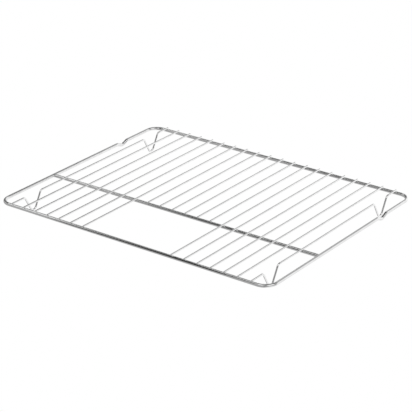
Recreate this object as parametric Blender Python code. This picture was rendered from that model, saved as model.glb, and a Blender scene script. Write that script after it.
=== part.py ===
"""Bakery cooling rack: a grid of welded wires on a rounded wire rim, standing on four bent feet.

X runs along the rack's length, Y from its front to its back, and Z up. The origin is the
middle of the footprint, on the surface that the feet stand on.
"""

import math

import bpy
from mathutils import Quaternion, Vector

# Driving dimensions, in metres.
RACK_LENGTH = 0.432
RACK_WIDTH = 0.330
RACK_HEIGHT = 0.025
RIM_DIAMETER = 0.0045
WIRE_DIAMETER = 0.0025
RIM_CORNER_RADIUS = 0.0165
WELD_GAP = 0.0003

# The grid: wires of one pitch, of which the middle ones stop at the cross bar.
WIRE_COUNT = 20
WIRE_PITCH = 0.020
WIRES_EACH_SIDE = 6
CROSS_BAR_FROM_FRONT = 0.107
WIRE_OVERHANG = 0.0015

# The dip in each short side of the rim, where two stacked racks catch.
NOTCH_FROM_FRONT = 0.252
NOTCH_DEPTH = 0.004
NOTCH_HALF_WIDTH = 0.0105
NOTCH_BEND_RADIUS = 0.006

# The feet: V-shaped bends in the first and the last wire.
FOOT_FROM_RIM = 0.038
FOOT_BEND_RADIUS = 0.0055
FOOT_SIDE_ANGLE = math.radians(61.0)

# Facets of a wire's round section and of its bends.
SIDES = 12
MOST_TURN_PER_FACET = math.radians(16.0)

CHROME_COLOUR = (0.78, 0.79, 0.80, 1.0)
CHROME_ROUGHNESS = 0.12

# Centre lines that follow from the dimensions above.
RIM_RADIUS = RIM_DIAMETER / 2
WIRE_RADIUS = WIRE_DIAMETER / 2
RIM_X = RACK_LENGTH / 2 - RIM_RADIUS
RIM_Y = RACK_WIDTH / 2 - RIM_RADIUS
WIRE_Z = RACK_HEIGHT - WIRE_RADIUS
RIM_Z = WIRE_Z - WIRE_RADIUS - WELD_GAP - RIM_RADIUS
CROSS_BAR_Y = CROSS_BAR_FROM_FRONT - RIM_Y
FRONT_END_Y = -RIM_Y - WIRE_OVERHANG
BACK_END_Y = RIM_Y + WIRE_OVERHANG


def clear_scene():
    for old_object in list(bpy.data.objects):
        bpy.data.objects.remove(old_object, do_unlink=True)


def make_collection(name):
    collection = bpy.data.collections.new(name)
    bpy.context.scene.collection.children.link(collection)
    return collection


def make_chrome(name):
    material = bpy.data.materials.new(name + "_chrome")
    material.use_nodes = True
    shader = material.node_tree.nodes["Principled BSDF"]
    shader.inputs["Base Color"].default_value = CHROME_COLOUR
    shader.inputs["Metallic"].default_value = 1.0
    shader.inputs["Roughness"].default_value = CHROME_ROUGHNESS
    return material


def bend_facets(turn):
    """An even number of facets, so that one of them faces straight out at the bend's middle."""
    return 2 * math.ceil(turn / (2 * MOST_TURN_PER_FACET))


def bend_points(before, corner, after, radius):
    """A sharp corner rounded to this radius: the arc's two ends, and between them the corners
    of the facets that touch it.
    """
    incoming = (corner - before).normalized()
    outgoing = (after - corner).normalized()
    turn = incoming.angle(outgoing)
    facets = bend_facets(turn)
    step = turn / facets
    centre = corner + (outgoing - incoming).normalized() * radius / math.cos(turn / 2)
    bend_start = corner - incoming * radius * math.tan(turn / 2)
    bend_end = corner + outgoing * radius * math.tan(turn / 2)
    spoke = (bend_start - centre) / math.cos(step / 2)
    axis = incoming.cross(outgoing).normalized()
    arc = [centre + Quaternion(axis, step * (index + 0.5)) @ spoke for index in range(facets)]
    return [bend_start] + arc + [bend_end]


def bent_path(corners, closed):
    """Points along a path, from sharp corners that are given with their bend radius.

    The first and last corners of an open path are its ends, and aren't bent.
    """
    count = len(corners)
    points = []
    for index, (corner, radius) in enumerate(corners):
        if not closed and index in (0, count - 1):
            points.append(Vector(corner))
            continue
        before = Vector(corners[index - 1][0])
        after = Vector(corners[(index + 1) % count][0])
        points.extend(bend_points(before, Vector(corner), after, radius))
    return points


def make_wire(name, collection, parent, points, diameter, closed=False):
    """A round wire whose flat facets face straight up, down and sideways at its full diameter."""
    curve = bpy.data.curves.new(name, "CURVE")
    curve.dimensions = "3D"
    curve.twist_mode = "Z_UP"
    curve.bevel_mode = "ROUND"
    curve.bevel_resolution = (SIDES - 4) // 2
    curve.bevel_depth = diameter / 2 / math.cos(math.pi / SIDES)
    curve.use_fill_caps = not closed
    spline = curve.splines.new("POLY")
    spline.points.add(len(points) - 1)
    for spline_point, position in zip(spline.points, points):
        spline_point.co = (*position, 1.0)
        spline_point.tilt = math.pi / SIDES
    spline.use_cyclic_u = closed
    curve.materials.append(make_chrome(name))
    wire = bpy.data.objects.new(name, curve)
    wire.parent = parent
    collection.objects.link(wire)
    return wire


def notch_corners(side):
    """The dip in one short side of the rim, from the front end to the back end."""
    y = NOTCH_FROM_FRONT - RIM_Y
    return [
        ((side * RIM_X, y - NOTCH_HALF_WIDTH, 0.0), NOTCH_BEND_RADIUS),
        ((side * RIM_X, y, -NOTCH_DEPTH), NOTCH_BEND_RADIUS),
        ((side * RIM_X, y + NOTCH_HALF_WIDTH, 0.0), NOTCH_BEND_RADIUS),
    ]


def make_rim(collection, parent):
    corners = [((-RIM_X, -RIM_Y, 0.0), RIM_CORNER_RADIUS)]
    corners += [((RIM_X, -RIM_Y, 0.0), RIM_CORNER_RADIUS)]
    corners += notch_corners(1)
    corners += [((RIM_X, RIM_Y, 0.0), RIM_CORNER_RADIUS)]
    corners += [((-RIM_X, RIM_Y, 0.0), RIM_CORNER_RADIUS)]
    corners += reversed(notch_corners(-1))
    rim = make_wire("rim_frame", collection, parent, bent_path(corners, True), RIM_DIAMETER, True)
    rim.location = (0.0, 0.0, RIM_Z)


def make_cross_bar(collection, parent):
    half_length = RIM_X - RIM_RADIUS - WELD_GAP
    ends = [Vector((-half_length, 0.0, 0.0)), Vector((half_length, 0.0, 0.0))]
    bar = make_wire("cross_bar", collection, parent, ends, RIM_DIAMETER)
    bar.location = (0.0, CROSS_BAR_Y, RIM_Z)


def foot_corners(y):
    """The three sharp corners of one V-shaped foot, whose lowest facet lies on the surface."""
    facet_turn = 2 * FOOT_SIDE_ANGLE / bend_facets(2 * FOOT_SIDE_ANGLE)
    lowest_centre = WIRE_RADIUS * math.cos(facet_turn / 2)
    arc_centre = lowest_centre + FOOT_BEND_RADIUS
    tip = arc_centre - FOOT_BEND_RADIUS / math.cos(FOOT_SIDE_ANGLE)
    half_width = (WIRE_Z - tip) / math.tan(FOOT_SIDE_ANGLE)
    return [
        ((0.0, y - half_width, 0.0), FOOT_BEND_RADIUS),
        ((0.0, y, tip - WIRE_Z), FOOT_BEND_RADIUS),
        ((0.0, y + half_width, 0.0), FOOT_BEND_RADIUS),
    ]


def make_foot_wire(name, collection, parent, x):
    foot_y = RIM_Y - FOOT_FROM_RIM
    corners = [((0.0, FRONT_END_Y, 0.0), 0.0)]
    corners += foot_corners(-foot_y)
    corners += foot_corners(foot_y)
    corners += [((0.0, BACK_END_Y, 0.0), 0.0)]
    wire = make_wire(name, collection, parent, bent_path(corners, False), WIRE_DIAMETER)
    wire.location = (x, 0.0, WIRE_Z)


def make_straight_wire(name, collection, parent, x, front_y):
    half_length = (BACK_END_Y - front_y) / 2
    ends = [Vector((0.0, -half_length, 0.0)), Vector((0.0, half_length, 0.0))]
    wire = make_wire(name, collection, parent, ends, WIRE_DIAMETER)
    wire.location = (x, (BACK_END_Y + front_y) / 2, WIRE_Z)


def wire_x(index):
    return (index - (WIRE_COUNT - 1) / 2) * WIRE_PITCH


def make_rack():
    collection = make_collection("cooling_rack")
    rack = bpy.data.objects.new("rack_origin", None)
    collection.objects.link(rack)

    make_rim(collection, rack)
    make_cross_bar(collection, rack)
    make_foot_wire("foot_wire_left", collection, rack, wire_x(0))
    make_foot_wire("foot_wire_right", collection, rack, wire_x(WIRE_COUNT - 1))

    for number in range(1, WIRES_EACH_SIDE + 1):
        left_x = wire_x(number)
        right_x = wire_x(WIRE_COUNT - 1 - WIRES_EACH_SIDE - 1 + number)
        make_straight_wire(f"long_wire_left_{number}", collection, rack, left_x, FRONT_END_Y)
        make_straight_wire(f"long_wire_right_{number}", collection, rack, right_x, FRONT_END_Y)

    short_count = WIRE_COUNT - 2 - 2 * WIRES_EACH_SIDE
    for number in range(1, short_count + 1):
        x = wire_x(WIRES_EACH_SIDE + number)
        make_straight_wire(f"short_wire_{number}", collection, rack, x, CROSS_BAR_Y - WIRE_OVERHANG)


clear_scene()
make_rack()
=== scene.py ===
"""The cooling rack's looks: round chromed wires with sheared ends, joined by weld beads.

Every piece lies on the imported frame, in metres: X along the rack, Y to its back, Z up. Only
the rim and the bar sit a little higher than their solids, against the wires welded to them.
"""

import math
import random

import bpy
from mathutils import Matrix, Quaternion, Vector


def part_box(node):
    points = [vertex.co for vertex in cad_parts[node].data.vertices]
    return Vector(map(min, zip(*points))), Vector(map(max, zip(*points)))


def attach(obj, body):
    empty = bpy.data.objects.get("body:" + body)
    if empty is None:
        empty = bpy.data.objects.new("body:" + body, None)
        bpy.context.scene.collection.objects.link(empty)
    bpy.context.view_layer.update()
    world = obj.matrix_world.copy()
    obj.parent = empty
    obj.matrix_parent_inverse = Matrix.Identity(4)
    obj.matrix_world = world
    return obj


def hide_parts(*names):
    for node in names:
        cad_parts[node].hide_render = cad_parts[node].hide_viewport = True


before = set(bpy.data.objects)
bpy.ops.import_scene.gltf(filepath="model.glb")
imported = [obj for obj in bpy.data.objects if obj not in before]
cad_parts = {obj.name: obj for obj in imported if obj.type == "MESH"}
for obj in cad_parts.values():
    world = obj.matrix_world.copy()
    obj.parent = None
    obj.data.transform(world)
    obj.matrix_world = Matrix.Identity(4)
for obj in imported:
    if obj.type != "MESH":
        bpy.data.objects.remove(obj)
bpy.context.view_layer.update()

# Sizes that the frame's boxes don't give, the same as the part's own.
RIM_CORNER_RADIUS = 0.0165
NOTCH_HALF_WIDTH = 0.0105
NOTCH_BEND_RADIUS = 0.006
FOOT_BEND_RADIUS = 0.0055
FOOT_SIDE_ANGLE = math.radians(61.0)

# Fineness of the round wires.
RIM_SIDES = 48
WIRE_SIDES = 32
TURN_PER_RING = math.radians(5.0)
RING_SPACING = 0.010
FIRST_RING = 0.0007

# Sheared wire ends: the front ones all slant to look down, by at least this share of the most.
END_ROUNDING = 0.00035
END_RINGS = 5
END_SLANT = math.radians(9.0)
LEAST_FRONT_SLANT = 0.3

# How far a wire may wander sideways along its length, and in how many waves.
SIDEWAYS_BOW = 0.0002
BOW_WAVES = (1, 2, 3)

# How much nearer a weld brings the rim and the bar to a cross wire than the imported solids
# lie, which keep a small gap.
WELD_SET_DOWN = 0.0005

# Weld fillets: how far they reach along and across a wire, and how uneven they are.
WELD_ALONG_WIRE = 0.0012
WELD_ALONG_RIM = 0.0010
WELD_UNEVENNESS = 0.14
WELD_WAVES = (1, 2, 3, 5)
WELD_SINK = 0.00008
WELD_RINGS = 7
WELD_SIDES = 30
BAR_WELD_REACH = 0.0013

# Outlines of the fillet at a crossing. On the rim, on the wire and at its waist between them,
# they are shares of its reach or of the radius of what it lies on.
ON_RIM_SHARE = 0.85
ON_RIM_LIMIT = 0.9
ON_WIRE_SHARE = 0.86
ON_WIRE_LIMIT = 0.97
WAIST_ACROSS = 0.72
WAIST_ALONG = 0.62

# Outlines of the fillet at the bar's end, as shares of the bar's radius or of its reach.
BAR_OUTLINE = 0.96
BAR_WAIST_WIDTH = 1.02
BAR_WAIST_FROM_END = 0.04
RIM_REACH_SHARE = 0.8

# The rim's ground butt weld, in the middle of the back side, and the rings on each side of it.
BUTT_WELD_DEPTH = 0.00005
BUTT_WELD_HALF_WIDTH = 0.0009
BUTT_WELD_RINGS = 4

# Rounds that settle how far below the rim's dip its sharp corner lies.
DIP_ROUNDS = 20

# Points this close in height to a node's lowest point count as lowest too.
LEVEL = 1e-5

# Grains of the chrome, in waves per metre: one number along the wire, and two across it.
DRAWN_LINES = (45.0, 5200.0, 5200.0)
PATCHES = (120.0, 300.0, 300.0)
RIPPLE = (700.0, 900.0, 900.0)

# The range where most of the noise texture's values lie.
MOST_NOISE_FROM = 0.3
MOST_NOISE_TO = 0.7

# For the wires' bows and slants, and the welds' outlines.
SEED = 7


def middle(node):
    low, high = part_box(node)
    return (Vector(low) + Vector(high)) / 2


def extent(node):
    low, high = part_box(node)
    return Vector(high) - Vector(low)


def lowest_y(node, behind):
    """Y of the lowest point of a node, in front of or behind the rack's middle."""
    points = [v.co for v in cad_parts[node].data.vertices if (v.co.y > 0) == behind]
    bottom = min(p.z for p in points)
    lowest = [p.y for p in points if p.z < bottom + LEVEL]
    return (min(lowest) + max(lowest)) / 2


# Places that follow from the frame.
RIM_RADIUS = extent("cross_bar").z / 2
WIRE_RADIUS = extent("short_wire_1").z / 2
BAR_Y = middle("cross_bar").y
RIM_Z = middle("cross_bar").z + WELD_SET_DOWN
WIRE_Z = middle("short_wire_1").z
RIM_X = extent("rim_frame").x / 2 - RIM_RADIUS
RIM_Y = extent("rim_frame").y / 2 - RIM_RADIUS
NOTCH_Y = lowest_y("rim_frame", behind=True)
FOOT_WIRES = sorted(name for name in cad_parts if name.startswith("foot_wire"))
LONG_WIRES = sorted(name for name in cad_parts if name.startswith("long_wire"))
SHORT_WIRES = sorted(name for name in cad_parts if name.startswith("short_wire"))


# --- Paths ---------------------------------------------------------------------------------


def arc_between(before, corner, after, radius):
    """Points on the arc that rounds a sharp corner, with both of its ends."""
    incoming = (corner - before).normalized()
    outgoing = (after - corner).normalized()
    turn = incoming.angle(outgoing)
    centre = corner + (outgoing - incoming).normalized() * radius / math.cos(turn / 2)
    spoke = corner - incoming * radius * math.tan(turn / 2) - centre
    axis = incoming.cross(outgoing).normalized()
    rings = max(2, math.ceil(turn / TURN_PER_RING))
    return [centre + Quaternion(axis, turn * k / rings) @ spoke for k in range(rings + 1)]


def rounded_path(corners, closed):
    """A path through sharp corners, each given with its bend radius; open ends aren't bent."""
    count = len(corners)
    points = []
    for index, (corner, radius) in enumerate(corners):
        if radius == 0.0:
            points.append(corner)
        else:
            before = corners[index - 1][0]
            after = corners[(index + 1) % count][0]
            points += arc_between(before, corner, after, radius)
    return fill_straights(points, closed)


def fill_straights(points, closed):
    """Adds rings along the straight runs. The first and last lie close to the run's ends, so
    that the smooth shading of a bend or an end doesn't reach along the straight wire.
    """
    filled = []
    last = len(points) if closed else len(points) - 1
    for index in range(last):
        start = points[index]
        end = points[(index + 1) % len(points)]
        filled.append(start)
        length = (end - start).length
        if length > 4 * FIRST_RING:
            first = start.lerp(end, FIRST_RING / length)
            last_ring = end.lerp(start, FIRST_RING / length)
            pieces = math.ceil(length / RING_SPACING)
            filled += [first.lerp(last_ring, k / pieces) for k in range(pieces + 1)]
    if not closed:
        filled.append(points[-1])
    return filled


def bow_sideways(points, generator):
    """Lets a drawn wire wander a little in X, the way a real one is never quite straight."""
    first_y, last_y = points[0].y, points[-1].y
    waves = [(k, generator.uniform(-1, 1) / k, generator.uniform(0, math.tau)) for k in BOW_WAVES]
    bowed = []
    for point in points:
        share = (point.y - first_y) / (last_y - first_y)
        fade = math.sin(math.pi * min(max(share, 0.0), 1.0))
        wander = sum(size * math.sin(math.tau * k * share + phase) for k, size, phase in waves)
        bowed.append(point + Vector((SIDEWAYS_BOW * fade * wander, 0, 0)))
    return bowed


# --- Meshes --------------------------------------------------------------------------------


def path_frames(points, closed):
    """For each point: the direction along the path, and two directions across it."""
    count = len(points)
    frames = []
    for index in range(count):
        if closed:
            before = points[index - 1]
            after = points[(index + 1) % count]
        else:
            before = points[max(index - 1, 0)]
            after = points[min(index + 1, count - 1)]
        along = (after - before).normalized()
        side = along.cross(Vector((0, 0, 1))).normalized()
        frames.append((along, side, side.cross(along)))
    return frames


def ring_faces(rings, sides, closed):
    """Quads between rings of points, and a face over each open end."""
    faces = []
    for ring in range(rings if closed else rings - 1):
        first = ring * sides
        second = (ring + 1) % rings * sides
        for k in range(sides):
            following = (k + 1) % sides
            faces.append((first + k, second + k, second + following, first + following))
    if not closed:
        faces.append(tuple(range(sides)))
        faces.append(tuple(reversed(range((rings - 1) * sides, rings * sides))))
    return faces


def make_tube(name, points, radii, sides, closed=False, slants=None):
    """A smooth closed tube. `wire_place` on its points is the place in the wire's own frame:
    x along it, y and z across it, so that a material's grain follows the bends.
    """
    frames = path_frames(points, closed)
    vertices = []
    places = []
    along_wire = 0.0
    for index, (point, radius) in enumerate(zip(points, radii)):
        along, side, up = frames[index]
        if index:
            along_wire += (point - points[index - 1]).length
        slant = slants[index] if slants else 0.0
        for k in range(sides):
            angle = math.tau * k / sides
            across = side * math.cos(angle) + up * math.sin(angle)
            lean = along * slant * math.sin(angle) * radius
            vertices.append(point + across * radius + lean)
            places.append((along_wire, radius * math.cos(angle), radius * math.sin(angle)))
    return mesh_piece(name, vertices, ring_faces(len(points), sides, closed), places)


def mesh_piece(name, vertices, faces, places):
    mesh = bpy.data.meshes.new(name)
    mesh.from_pydata([tuple(v) for v in vertices], [], faces)
    attribute = mesh.attributes.new("wire_place", "FLOAT_VECTOR", "POINT")
    for item, place in zip(attribute.data, places):
        item.vector = place
    mesh.update()
    mesh.shade_smooth()
    for polygon in mesh.polygons:
        # Only the faces over the ends have more than four corners, and they are flat.
        if len(polygon.vertices) > 4:
            polygon.use_smooth = False
    piece = bpy.data.objects.new(name, mesh)
    bpy.context.scene.collection.objects.link(piece)
    return piece


def sheared_end(points, radius, slant):
    """Rings that close a wire's end: a flat, slightly slanted face, then a small rounding."""
    start, following = points[0], points[1]
    along = (following - start).normalized()
    face_radius = radius - END_ROUNDING
    rings = []
    for k in range(END_RINGS + 1):
        angle = math.pi / 2 * k / END_RINGS
        depth = END_ROUNDING * (1 - math.cos(angle))
        width = face_radius + END_ROUNDING * math.sin(angle)
        rings.append((start + along * depth, width, slant))
    return rings


def wire_with_ends(name, points, radius, generator):
    """An open wire whose two ends are sheared, each at a slant of its own. The front ends
    all lean to look down a little.
    """
    points = bow_sideways(points, generator)
    most = math.tan(END_SLANT)
    front = sheared_end(points, radius, generator.uniform(-1, -LEAST_FRONT_SLANT) * most)
    back = sheared_end(points[::-1], radius, generator.uniform(-1, 1) * most)
    body = [(point, radius, 0.0) for point in points[1:-1]]
    rings = front + body + back[::-1]
    places = [ring[0] for ring in rings]
    return make_tube(name, places, [ring[1] for ring in rings], WIRE_SIDES,
                     slants=[ring[2] for ring in rings])


# --- The rack's wires ----------------------------------------------------------------------


def notch_corners(side):
    """The dip in one short side of the rim; its sharp corner lies a little below the dip."""
    dip = middle("cross_bar").z - RIM_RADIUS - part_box("rim_frame")[0][2]
    sharp_dip = dip
    for _ in range(DIP_ROUNDS):
        slope = math.atan2(sharp_dip, NOTCH_HALF_WIDTH)
        sharp_dip = dip + NOTCH_BEND_RADIUS * (1 / math.cos(slope) - 1)
    x = side * RIM_X
    return [
        (Vector((x, NOTCH_Y - NOTCH_HALF_WIDTH, RIM_Z)), NOTCH_BEND_RADIUS),
        (Vector((x, NOTCH_Y, RIM_Z - sharp_dip)), NOTCH_BEND_RADIUS),
        (Vector((x, NOTCH_Y + NOTCH_HALF_WIDTH, RIM_Z)), NOTCH_BEND_RADIUS),
    ]


def rim_corner(side, end):
    return [(Vector((side * RIM_X, end * RIM_Y, RIM_Z)), RIM_CORNER_RADIUS)]


def rim_radius_at(point):
    """The wire's own radius, less a shallow ring where its ends were joined and ground."""
    if point.y < 0:
        return RIM_RADIUS
    from_weld = point.x / BUTT_WELD_HALF_WIDTH
    return RIM_RADIUS - BUTT_WELD_DEPTH * math.exp(-from_weld * from_weld)


def make_rim():
    corners = rim_corner(-1, -1) + rim_corner(1, -1) + notch_corners(1)
    corners += rim_corner(1, 1)
    # Rings close together at the butt weld.
    step = BUTT_WELD_HALF_WIDTH / 2
    for k in range(BUTT_WELD_RINGS, -BUTT_WELD_RINGS - 1, -1):
        corners.append((Vector((step * k, RIM_Y, RIM_Z)), 0.0))
    corners += rim_corner(-1, 1) + notch_corners(-1)[::-1]
    points = rounded_path(corners, closed=True)
    return make_tube("rim", points, [rim_radius_at(p) for p in points], RIM_SIDES, closed=True)


def make_cross_bar():
    low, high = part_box("cross_bar")
    ends = [Vector((low[0], BAR_Y, RIM_Z)), Vector((high[0], BAR_Y, RIM_Z))]
    points = fill_straights(ends, closed=False)
    return make_tube("bar", points, [RIM_RADIUS] * len(points), RIM_SIDES)


def foot_corners(x, y):
    arc_centre = WIRE_RADIUS + FOOT_BEND_RADIUS
    tip = arc_centre - FOOT_BEND_RADIUS / math.cos(FOOT_SIDE_ANGLE)
    half_width = (WIRE_Z - tip) / math.tan(FOOT_SIDE_ANGLE)
    return [
        (Vector((x, y - half_width, WIRE_Z)), FOOT_BEND_RADIUS),
        (Vector((x, y, tip)), FOOT_BEND_RADIUS),
        (Vector((x, y + half_width, WIRE_Z)), FOOT_BEND_RADIUS),
    ]


def make_foot_wire(node, generator):
    low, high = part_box(node)
    x = middle(node).x
    corners = [(Vector((x, low[1], WIRE_Z)), 0.0)]
    corners += foot_corners(x, lowest_y(node, behind=False))
    corners += foot_corners(x, lowest_y(node, behind=True))
    corners += [(Vector((x, high[1], WIRE_Z)), 0.0)]
    points = rounded_path(corners, closed=False)
    return wire_with_ends(node + "_round", points, WIRE_RADIUS, generator)


def make_straight_wire(node, generator):
    low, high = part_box(node)
    x = middle(node).x
    ends = [Vector((x, low[1], WIRE_Z)), Vector((x, high[1], WIRE_Z))]
    points = fill_straights(ends, closed=False)
    return wire_with_ends(node + "_round", points, WIRE_RADIUS, generator)


# --- Weld beads ----------------------------------------------------------------------------


def uneven_reach(generator):
    """A function of angle, near 1: the uneven outline of one weld."""
    waves = [(k, generator.uniform(-1, 1) / k, generator.uniform(0, math.tau)) for k in WELD_WAVES]
    return lambda angle: 1 + WELD_UNEVENNESS * sum(
        size * math.sin(k * angle + phase) for k, size, phase in waves)


def fillet_rings(bottom, waist, top):
    """Rings on a hollow curve from one outline to another; each outline is a list of points."""
    rings = []
    for k in range(WELD_RINGS):
        t = k / (WELD_RINGS - 1)
        rings += [
            b * (1 - t) ** 2 + w * 2 * t * (1 - t) + u * t ** 2
            for b, w, u in zip(bottom, waist, top)
        ]
    return rings


def crossing_weld(x, y, generator):
    """The fillet between a wire and the rim or bar that it lies on."""
    reach = uneven_reach(generator)
    bottom = []
    waist = []
    top = []
    for k in range(WELD_SIDES):
        angle = math.tau * k / WELD_SIDES
        size = reach(angle)
        across = math.cos(angle) * size
        along = math.sin(angle) * size

        on_rim = min(WELD_ALONG_WIRE * ON_RIM_SHARE * abs(along), RIM_RADIUS * ON_RIM_LIMIT)
        rim_drop = RIM_RADIUS - math.sqrt(RIM_RADIUS ** 2 - on_rim ** 2)
        bottom.append(Vector((
            x + WELD_ALONG_RIM * across,
            y + math.copysign(on_rim, along),
            RIM_Z + RIM_RADIUS - rim_drop - WELD_SINK,
        )))

        on_wire = min(WIRE_RADIUS * ON_WIRE_SHARE * abs(across), WIRE_RADIUS * ON_WIRE_LIMIT)
        wire_rise = WIRE_RADIUS - math.sqrt(WIRE_RADIUS ** 2 - on_wire ** 2)
        top.append(Vector((
            x + math.copysign(on_wire, across),
            y + WELD_ALONG_WIRE * along,
            WIRE_Z - WIRE_RADIUS + wire_rise + WELD_SINK,
        )))

        waist.append(Vector((
            x + WIRE_RADIUS * WAIST_ACROSS * across,
            y + WELD_ALONG_WIRE * WAIST_ALONG * along,
            (RIM_Z + RIM_RADIUS + WIRE_Z - WIRE_RADIUS) / 2,
        )))
    return fillet_rings(bottom, waist, top)


def bar_end_weld(side, generator):
    """The fillet around one end of the cross bar, where it butts against the rim."""
    reach = uneven_reach(generator)
    bar_end = side * extent("cross_bar").x / 2
    on_bar = []
    waist = []
    on_rim = []
    for k in range(WELD_SIDES):
        angle = side * math.tau * k / WELD_SIDES
        size = reach(angle)
        y = RIM_RADIUS * math.cos(angle)
        z = RIM_RADIUS * math.sin(angle)
        on_bar.append(Vector((
            bar_end - side * BAR_WELD_REACH * size,
            BAR_Y + y * BAR_OUTLINE,
            RIM_Z + z * BAR_OUTLINE,
        )))
        waist.append(Vector((
            bar_end - side * RIM_RADIUS * BAR_WAIST_FROM_END,
            BAR_Y + y * BAR_WAIST_WIDTH,
            RIM_Z + z,
        )))
        rim_z = z * BAR_OUTLINE
        rim_x = RIM_X - math.sqrt(RIM_RADIUS ** 2 - rim_z ** 2) + WELD_SINK
        on_rim.append(Vector((
            side * rim_x,
            BAR_Y + (RIM_RADIUS + BAR_WELD_REACH * RIM_REACH_SHARE * size) * math.cos(angle),
            RIM_Z + rim_z,
        )))
    return fillet_rings(on_bar, waist, on_rim)


def make_welds(name, welds):
    """One piece of many beads. Each bead's grain is measured from its own middle."""
    vertices = []
    places = []
    faces = []
    for weld in welds:
        start = len(vertices)
        centre = sum(weld, Vector()) / len(weld)
        vertices += weld
        places += [point - centre for point in weld]
        for face in ring_faces(WELD_RINGS, WELD_SIDES, closed=False):
            faces.append(tuple(start + corner for corner in face))
    return mesh_piece(name, vertices, faces, places)


# --- Materials -----------------------------------------------------------------------------


def scaled_place(nodes, links, scale):
    """The place in the wire's own frame, times a scale along it and across it."""
    place = nodes.new("ShaderNodeAttribute")
    place.attribute_type = "GEOMETRY"
    place.attribute_name = "wire_place"
    multiply = nodes.new("ShaderNodeVectorMath")
    multiply.operation = "MULTIPLY"
    multiply.inputs[1].default_value = scale
    links.new(place.outputs["Vector"], multiply.inputs[0])
    return multiply.outputs["Vector"]


def noise(nodes, links, scale, detail):
    texture = nodes.new("ShaderNodeTexNoise")
    texture.inputs["Scale"].default_value = 1.0
    texture.inputs["Detail"].default_value = detail
    links.new(scaled_place(nodes, links, scale), texture.inputs["Vector"])
    return texture.outputs["Fac"]


def map_range(nodes, links, value, low, high):
    """Noise, stretched from low to high."""
    remap = nodes.new("ShaderNodeMapRange")
    remap.inputs["From Min"].default_value = MOST_NOISE_FROM
    remap.inputs["From Max"].default_value = MOST_NOISE_TO
    remap.inputs["To Min"].default_value = low
    remap.inputs["To Max"].default_value = high
    links.new(value, remap.inputs["Value"])
    return remap.outputs["Result"]


def add_bump(nodes, links, height, depth, normal=None):
    bump = nodes.new("ShaderNodeBump")
    bump.inputs["Strength"].default_value = 1.0
    bump.inputs["Distance"].default_value = depth
    links.new(height, bump.inputs["Height"])
    if normal:
        links.new(normal, bump.inputs["Normal"])
    return bump.outputs["Normal"]


def make_chrome(name, dark, light, smooth, rough, line_depth, ripple_depth):
    """Bright chrome over drawn steel: fine lines along the wire, a faint ripple, and plating
    that is a little duller in patches. Its greys run from dark to light, and its roughness
    from smooth to rough.
    """
    material = bpy.data.materials.new(name)
    material.use_nodes = True
    nodes = material.node_tree.nodes
    links = material.node_tree.links
    shader = nodes["Principled BSDF"]
    shader.inputs["Metallic"].default_value = 1.0

    drawn_lines = noise(nodes, links, DRAWN_LINES, detail=3.0)
    patches = noise(nodes, links, PATCHES, detail=4.0)
    ripple = noise(nodes, links, RIPPLE, detail=2.0)

    tint = nodes.new("ShaderNodeMix")
    tint.data_type = "RGBA"
    tint.inputs["A"].default_value = (dark, dark, dark, 1)
    tint.inputs["B"].default_value = (light, light, light, 1)
    links.new(map_range(nodes, links, patches, 0.0, 1.0), tint.inputs["Factor"])
    links.new(tint.outputs["Result"], shader.inputs["Base Color"])

    roughness = nodes.new("ShaderNodeMath")
    roughness.operation = "ADD"
    links.new(map_range(nodes, links, patches, rough / 2, smooth / 2), roughness.inputs[0])
    links.new(map_range(nodes, links, drawn_lines, smooth / 2, rough / 2), roughness.inputs[1])
    links.new(roughness.outputs["Value"], shader.inputs["Roughness"])

    rippled = add_bump(nodes, links, ripple, ripple_depth)
    links.new(add_bump(nodes, links, drawn_lines, line_depth, rippled), shader.inputs["Normal"])
    return material


def dress(piece, material, node=None):
    piece.data.materials.append(material)
    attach(piece, "root")
    if node:
        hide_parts(node)


def make_rack():
    generator = random.Random(SEED)
    rim_chrome = make_chrome("chrome_rim", dark=0.70, light=0.78,
                             smooth=0.05, rough=0.13, line_depth=2e-6, ripple_depth=3e-6)
    wire_chrome = make_chrome("chrome_wire", dark=0.76, light=0.83,
                              smooth=0.06, rough=0.15, line_depth=2e-6, ripple_depth=2e-6)
    weld_chrome = make_chrome("chrome_weld", dark=0.68, light=0.80,
                              smooth=0.16, rough=0.30, line_depth=4e-6, ripple_depth=2e-5)

    dress(make_rim(), rim_chrome, "rim_frame")
    dress(make_cross_bar(), rim_chrome, "cross_bar")
    for node in FOOT_WIRES:
        dress(make_foot_wire(node, generator), wire_chrome, node)
    for node in LONG_WIRES + SHORT_WIRES:
        dress(make_straight_wire(node, generator), wire_chrome, node)

    through_x = [middle(node).x for node in FOOT_WIRES + LONG_WIRES]
    all_x = through_x + [middle(node).x for node in SHORT_WIRES]
    for name, y, crossings in (("front_rim_welds", -RIM_Y, through_x),
                               ("cross_bar_welds", BAR_Y, all_x),
                               ("back_rim_welds", RIM_Y, all_x)):
        welds = [crossing_weld(x, y, generator) for x in sorted(crossings)]
        dress(make_welds(name, welds), weld_chrome)
    ends = [bar_end_weld(side, generator) for side in (-1, 1)]
    dress(make_welds("cross_bar_end_welds", ends), weld_chrome)


# --- Stage ---------------------------------------------------------------------------------

CAMERA_AZIMUTH = math.radians(36.914)
CAMERA_ELEVATION = math.radians(24.181)
CAMERA_ROLL = math.radians(-0.443)
CAMERA_DISTANCE = 2.2516
CAMERA_TARGET = Vector((0.01322, -0.01711, RIM_Z))
CAMERA_LENS_MM = 151.98
CAMERA_SENSOR_MM = 36.0

FLOOR_SIZE = 16.0
FLOOR_GLOW = 1.0

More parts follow.
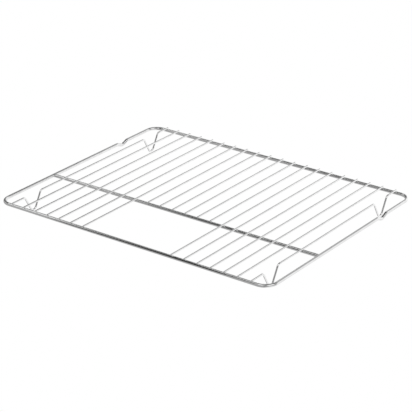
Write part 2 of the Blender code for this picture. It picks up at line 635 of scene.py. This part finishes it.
# The studio that the chrome mirrors, as discs in a grey sky: azimuth, elevation, radius,
# softness of the edge, radiance. A later disc covers an earlier one.
ROOM_GREY = 0.50
SKY_DISCS = {
    "dark wall on the left": (-61.0, 25.0, 20.0, 2.0, 0.17),
    "white sweep behind": (17.0, -9.5, 43.0, 2.0, 1.09),
    "white floor behind": (9.0, -47.0, 36.0, 3.0, 1.04),
    "white floor on the right": (95.0, -50.0, 32.0, 4.0, 1.04),
    "dark corner, high on the left": (-60.0, 73.0, 37.0, 2.0, 0.07),
    "dark side, behind the camera": (143.0, 24.0, 22.0, 4.0, 0.10),
    "light, high on the right": (95.0, 52.0, 24.0, 4.0, 1.40),
}

# Upright panels around the rack: name, bearing, distance, height of the middle, width,
# height, radiance. A bearing is clockwise from the rack's front, seen from above.
PANELS = (
    ("left_strip_light", 100.0, 1.48, 1.70, 4.60, 0.34, 1.10),
    ("front_black_flag", 25.5, 0.65, 1.18, 0.28, 2.50, 0.03),
    ("white_card_behind", 201.0, 0.64, 0.10, 0.42, 0.50, 1.26),
)
OVERHEAD_CENTRE = Vector((-0.04, -0.58, 0.83))
OVERHEAD_SIZE = 0.76
OVERHEAD_RADIANCE = 1.30


def direction(azimuth, elevation):
    """From the rack's middle; azimuth 0 is straight back, and it turns towards +X."""
    return Vector((
        math.sin(azimuth) * math.cos(elevation),
        math.cos(azimuth) * math.cos(elevation),
        math.sin(elevation),
    ))


def make_camera():
    data = bpy.data.cameras.new("camera")
    data.lens = CAMERA_LENS_MM
    data.sensor_width = CAMERA_SENSOR_MM
    camera = bpy.data.objects.new("camera", data)
    bpy.context.scene.collection.objects.link(camera)
    back = direction(math.pi - CAMERA_AZIMUTH, CAMERA_ELEVATION)
    camera.location = CAMERA_TARGET + back * CAMERA_DISTANCE
    camera.rotation_mode = "QUATERNION"
    level = (-back).to_track_quat("-Z", "Y")
    camera.rotation_quaternion = level @ Quaternion((0, 0, 1), CAMERA_ROLL)
    bpy.context.scene.camera = camera


def make_plane(name, centre, right, up, radiance):
    """A black panel between centre - right - up and centre + right + up, that glows evenly."""
    mesh = bpy.data.meshes.new(name)
    corners = [centre - right - up, centre + right - up, centre + right + up, centre - right + up]
    mesh.from_pydata([tuple(corner) for corner in corners], [], [(0, 1, 2, 3)])
    plane = bpy.data.objects.new(name, mesh)
    bpy.context.scene.collection.objects.link(plane)
    material = bpy.data.materials.new(name)
    material.use_nodes = True
    shader = material.node_tree.nodes["Principled BSDF"]
    shader.inputs["Base Color"].default_value = (0, 0, 0, 1)
    shader.inputs["Roughness"].default_value = 1.0
    shader.inputs["Specular IOR Level"].default_value = 0.0
    shader.inputs["Emission Color"].default_value = (1, 1, 1, 1)
    shader.inputs["Emission Strength"].default_value = radiance
    mesh.materials.append(material)
    return plane


def make_floor():
    """A white floor that glows evenly, as a light table does. The chrome doesn't mirror it."""
    half = FLOOR_SIZE / 2
    floor = make_plane("floor", Vector((0, 0, 0)), Vector((half, 0, 0)), Vector((0, half, 0)),
                       FLOOR_GLOW)
    floor.visible_glossy = False


def make_panels():
    """Lights, a white card and a black flag that only the chrome sees."""
    panels = []
    for name, bearing, distance, height, width, tall, radiance in PANELS:
        azimuth = math.pi + math.radians(bearing)
        centre = direction(azimuth, 0.0) * distance + Vector((0, 0, height))
        right = direction(azimuth + math.pi / 2, 0.0) * width / 2
        up = Vector((0, 0, tall / 2))
        panels.append(make_plane(name, centre, right, up, radiance))
    half = OVERHEAD_SIZE / 2
    panels.append(make_plane("overhead_softbox", OVERHEAD_CENTRE, Vector((half, 0, 0)),
                             Vector((0, half, 0)), OVERHEAD_RADIANCE))
    for panel in panels:
        panel.visible_camera = False
        panel.visible_diffuse = False
        panel.visible_shadow = False


def sky_disc(nodes, links, strength, disc):
    """The strength of the sky's light, set to a disc's radiance within that disc."""
    azimuth, elevation, radius, softness = (math.radians(value) for value in disc[:4])
    place = nodes.new("ShaderNodeTexCoord")
    towards = nodes.new("ShaderNodeVectorMath")
    towards.operation = "DOT_PRODUCT"
    towards.inputs[1].default_value = direction(azimuth, elevation)
    links.new(place.outputs["Generated"], towards.inputs[0])
    edge = nodes.new("ShaderNodeMapRange")
    edge.interpolation_type = "SMOOTHSTEP"
    edge.inputs["From Min"].default_value = math.cos(radius + softness)
    edge.inputs["From Max"].default_value = math.cos(radius - softness)
    links.new(towards.outputs["Value"], edge.inputs["Value"])
    mix = nodes.new("ShaderNodeMix")
    mix.inputs["B"].default_value = disc[4]
    links.new(edge.outputs["Result"], mix.inputs["Factor"])
    links.new(strength, mix.inputs["A"])
    return mix.outputs["Result"]


def make_world():
    world = bpy.data.worlds.new("studio")
    world.use_nodes = True
    nodes = world.node_tree.nodes
    links = world.node_tree.links
    room = nodes.new("ShaderNodeValue")
    room.outputs["Value"].default_value = ROOM_GREY
    strength = room.outputs["Value"]
    for disc in SKY_DISCS.values():
        strength = sky_disc(nodes, links, strength, disc)
    links.new(strength, nodes["Background"].inputs["Strength"])
    nodes["Background"].inputs["Color"].default_value = (1, 1, 1, 1)
    bpy.context.scene.world = world
    bpy.context.scene.view_settings.view_transform = "Standard"


make_rack()
make_camera()
make_floor()
make_panels()
make_world()
